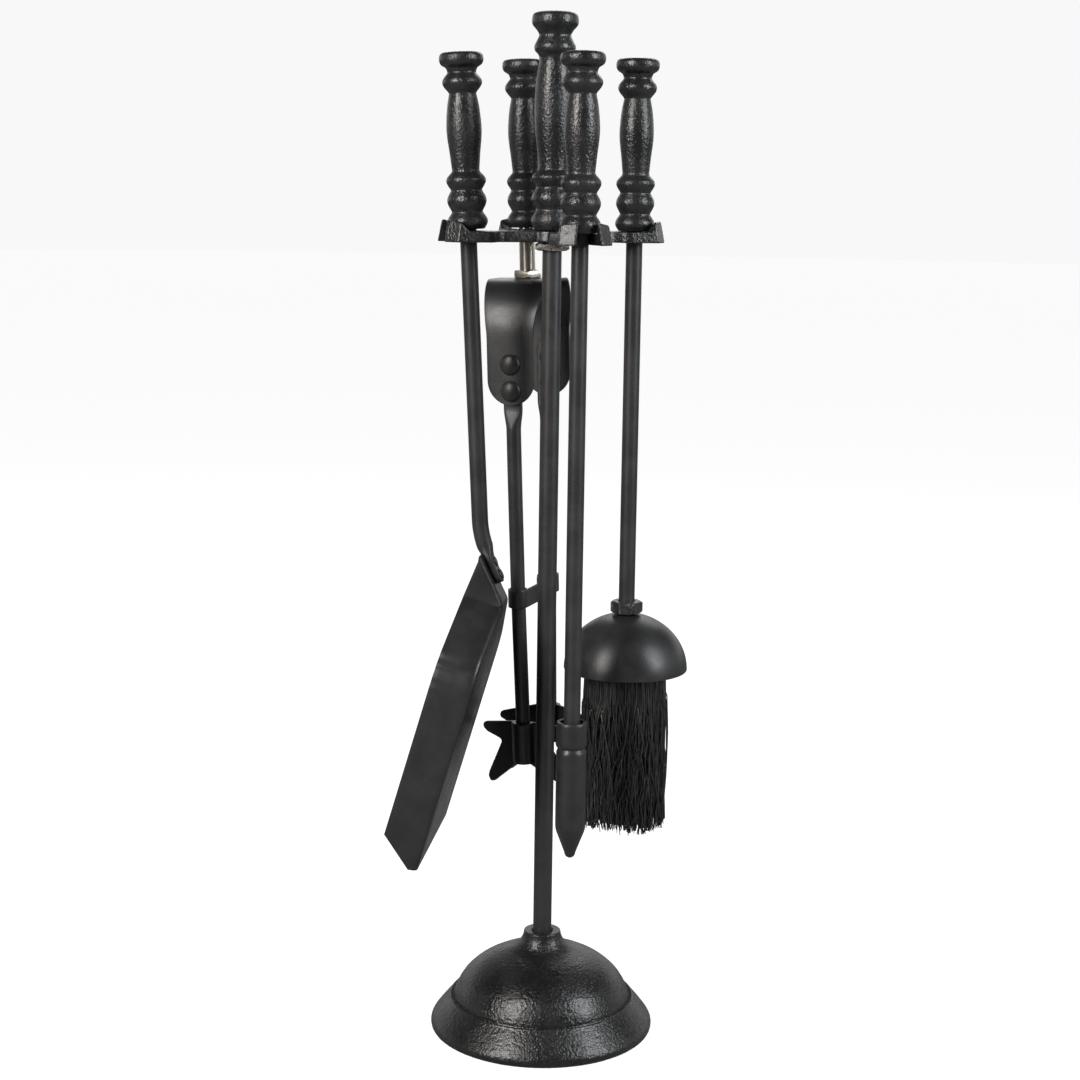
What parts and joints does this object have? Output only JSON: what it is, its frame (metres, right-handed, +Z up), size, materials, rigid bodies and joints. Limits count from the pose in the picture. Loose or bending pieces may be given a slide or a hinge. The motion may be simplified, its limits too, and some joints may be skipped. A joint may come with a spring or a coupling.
{
  "type": "fireplace tool set",
  "caption": "Free-standing fireside stand with a domed cast base, a forked cross rack and turned-handled shovel, tongs, poker and brush that lift off.",
  "frame": {"origin": "on the floor, at the middle of the base, under the stem", "axes": "+Z up along the stem; +X to the right and -Y towards a viewer who has the poker in front, the shovel on the left and the brush on the right"},
  "size_m": [0.1902, 0.1623, 0.65],
  "materials": {
    "cast_iron": "gloss black enamel over a pebbled casting",
    "black_enamel": "satin black",
    "bright_zinc": "zinc plate with black overspray",
    "fibre": "matt black fibre",
    "plug_wood": "bare"
  },
  "bodies": {
    "stand": {"base_casting": "cast_iron", "base_washer": "bright_zinc", "base_nut": "bright_zinc", "stem": "black_enamel", "rack_nut": "bright_zinc", "rack": "cast_iron", "finial": "cast_iron"},
    "shovel": {"shovel_handle": "cast_iron", "shovel_rod": "black_enamel", "shovel_pan": "black_enamel", "shovel_rivet_1": "black_enamel", "shovel_rivet_2": "black_enamel"},
    "poker": {"poker_handle": "cast_iron", "poker_rod": "black_enamel", "poker_tip": "black_enamel"},
    "brush": {"brush_handle": "cast_iron", "brush_rod": "black_enamel", "brush_nut": "black_enamel", "brush_dome": "black_enamel", "brush_plug": "plug_wood", "brush_bristles": "fibre"},
    "tongs": {"tongs_handle": "cast_iron", "tongs_stud": "bright_zinc", "tongs_upper_nut": "bright_zinc", "tongs_lower_nut": "bright_zinc", "tongs_bow": "black_enamel"},
    "near_arm": {"near_arm": "black_enamel", "near_jaw": "black_enamel", "near_rivet_1": "black_enamel", "near_rivet_2": "black_enamel", "arm_guide": "black_enamel"},
    "far_arm": {"far_arm": "black_enamel", "far_jaw": "black_enamel", "far_rivet_1": "black_enamel", "far_rivet_2": "black_enamel"}
  },
  "joints": [
    {"name": "poker_lift", "type": "slide", "parent": "stand", "child": "poker", "axis": [0.2316, -0.7302, 0.6428], "range_m": [0, 0.09]},
    {"name": "brush_lift", "type": "slide", "parent": "stand", "child": "brush", "axis": [0.7302, 0.2316, 0.6428], "range_m": [0, 0.09]},
    {"name": "tongs_lift", "type": "slide", "parent": "stand", "child": "tongs", "axis": [-0.2316, 0.7302, 0.6428], "range_m": [0, 0.09]},
    {"name": "shovel_lift", "type": "slide", "parent": "stand", "child": "shovel", "axis": [-0.7302, -0.2316, 0.6428], "range_m": [0, 0.09]},
    {"name": "near_arm_squeeze", "type": "hinge", "parent": "tongs", "child": "near_arm", "pos_m": [-0.01474, 0.05147, 0.47068], "axis": [0.9299, -0.3665, 0.0308], "range_deg": [0, 2], "stiffness_Nm_per_rad": 40, "springref_deg": -0.57, "deforming": ["tongs_bow"]},
    {"name": "far_arm_squeeze", "type": "hinge", "parent": "tongs", "child": "far_arm", "pos_m": [-0.01474, 0.05147, 0.47068], "axis": [-0.9299, 0.3665, -0.0308], "range_deg": [0, 2], "stiffness_Nm_per_rad": 40, "springref_deg": -0.57, "deforming": ["tongs_bow"]}
  ],
  "couplings": [
    {"joint": "far_arm_squeeze", "follows": "near_arm_squeeze", "ratio": 1}
  ]
}
